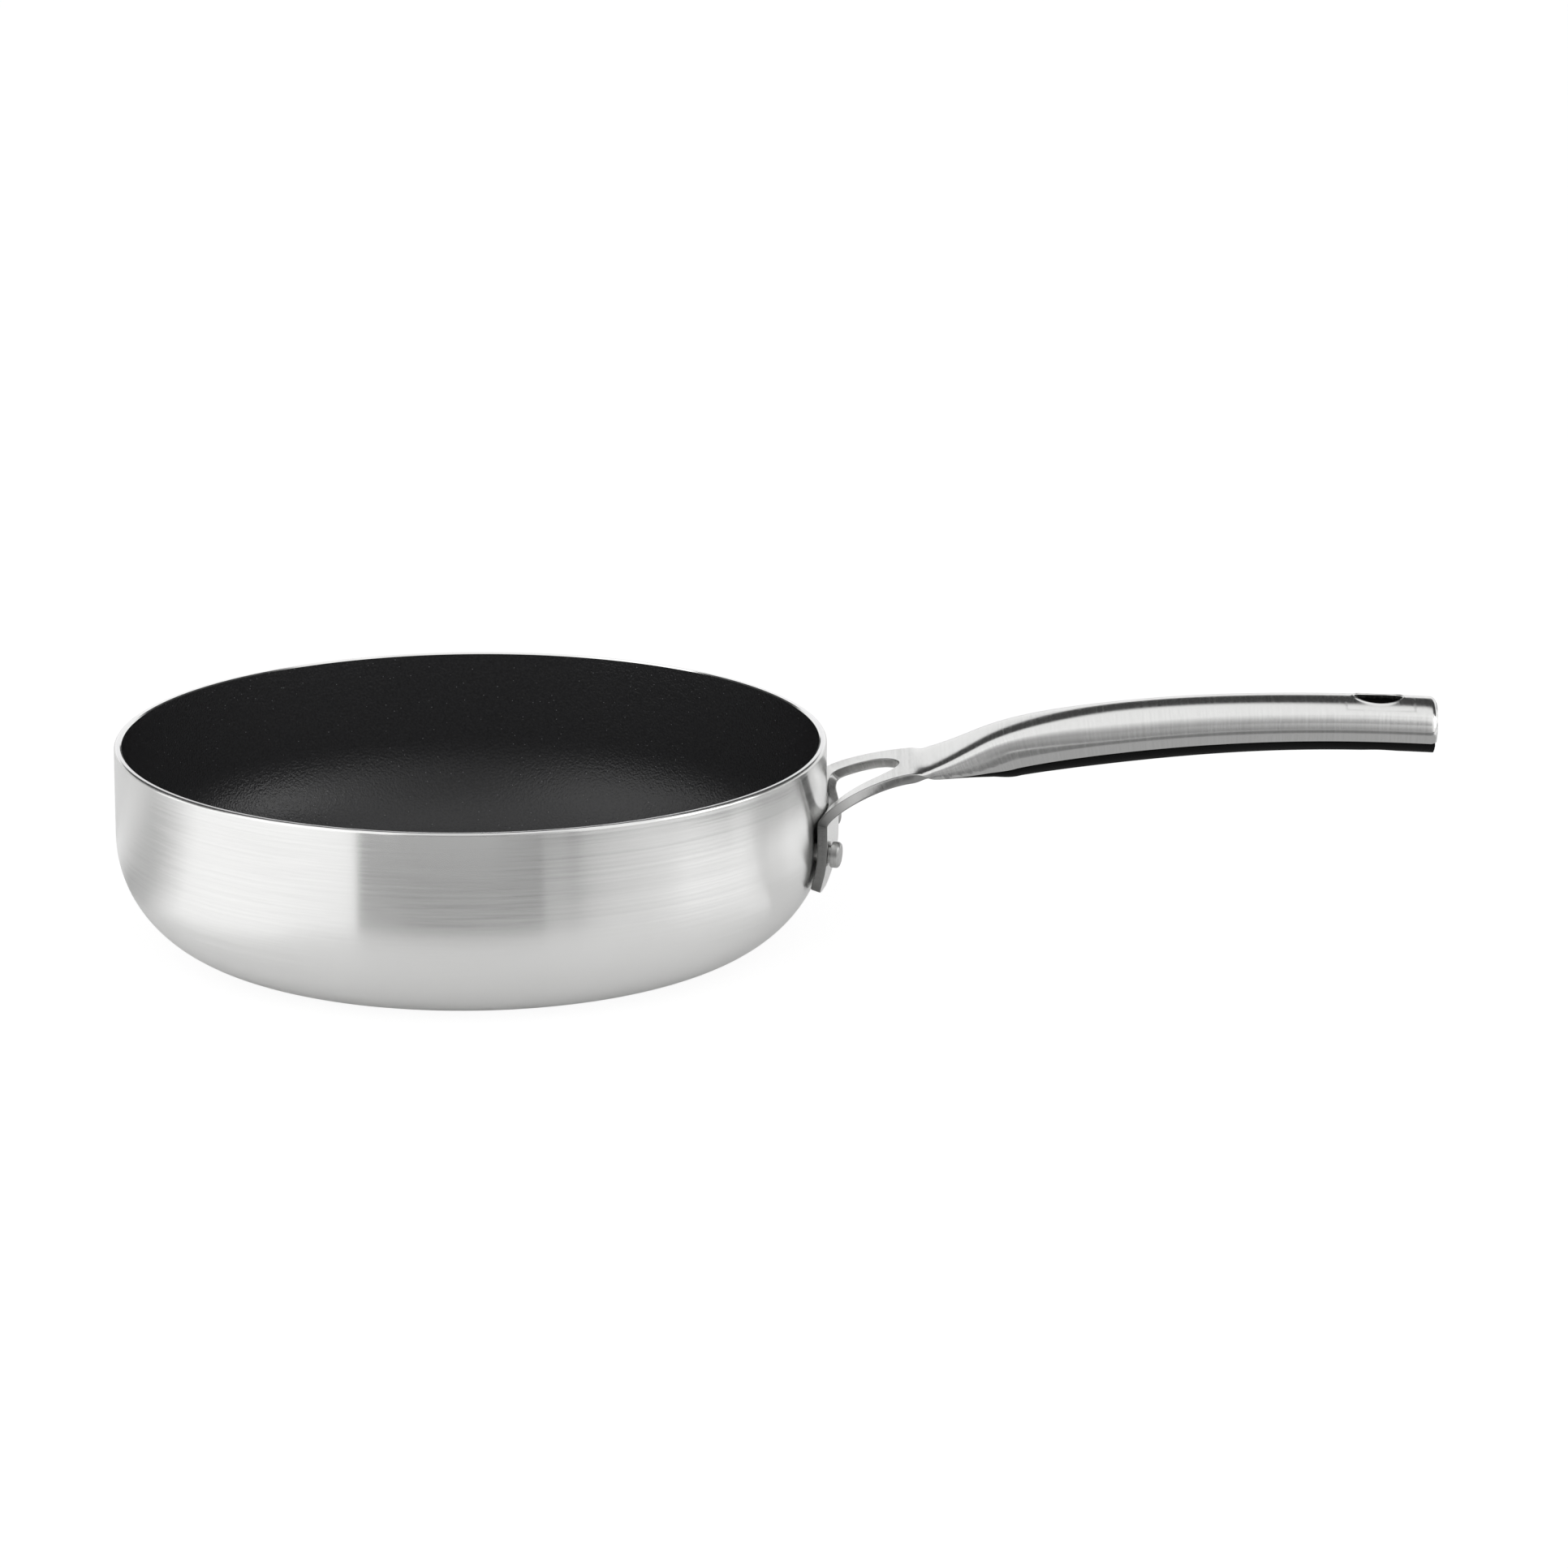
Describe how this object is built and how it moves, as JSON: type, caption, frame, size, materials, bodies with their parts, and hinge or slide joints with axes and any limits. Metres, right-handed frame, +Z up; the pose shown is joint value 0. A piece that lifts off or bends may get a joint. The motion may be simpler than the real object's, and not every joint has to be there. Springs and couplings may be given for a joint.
{
  "type": "deep frying pan",
  "caption": "Deep round frying pan with a clad steel body, rounded corner, dark non-stick lining and a riveted, forked steel handle with a black grip insert and a hang hole.",
  "frame": {"origin": "centre of the flat underside, on the surface the pan stands on", "axes": "+Z up along the vessel's axis, +X along the handle, away from the vessel"},
  "size_m": [0.4451, 0.24, 0.0847],
  "materials": {
    "vessel_steel": "brushed around the vessel",
    "core_aluminium": "turned, seen only in the rim",
    "inner_steel": "polished where bare",
    "lining": "satin non-stick coating",
    "handle_steel": "satin, brushed across the grip",
    "insert_black": "fine matt moulding",
    "rivet_steel": "satin"
  },
  "bodies": {
    "root": {"outer_steel_ply": "vessel_steel", "aluminium_core": "core_aluminium", "inner_steel_ply": "inner_steel", "nonstick_lining": "lining", "handle_shell": "handle_steel", "grip_insert": "insert_black", "rivet_near": "rivet_steel", "rivet_far": "rivet_steel"}
  },
  "joints": []
}
